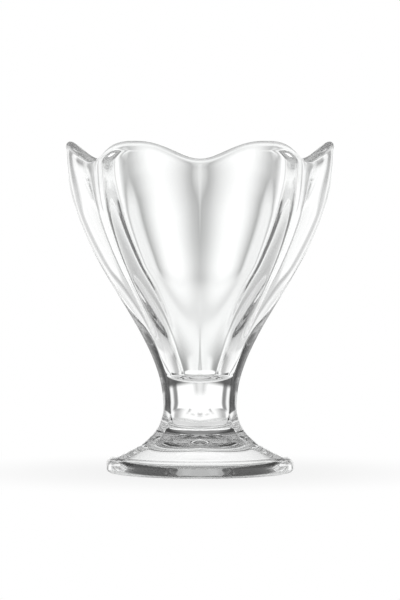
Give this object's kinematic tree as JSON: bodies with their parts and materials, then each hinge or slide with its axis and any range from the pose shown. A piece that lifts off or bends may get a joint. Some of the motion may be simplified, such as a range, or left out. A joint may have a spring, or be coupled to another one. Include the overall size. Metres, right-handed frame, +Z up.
{
  "type": "parfait glass",
  "caption": "Clear pressed-glass parfait cup with a waved petal bowl on a solid, softly fluted stem and a round flared foot, for serving layered desserts.",
  "frame": {"origin": "centre of the resting ring, on the surface that the glass stands on", "axes": "+Z up along the axis of the glass, -Y towards the viewer through a valley between two petals, +X through the middle of a petal"},
  "size_m": [0.1024, 0.096, 0.126],
  "materials": {
    "clear_glass": "fire-polished"
  },
  "bodies": {
    "root": {"bowl": "clear_glass", "stem": "clear_glass", "foot": "clear_glass"}
  },
  "joints": []
}
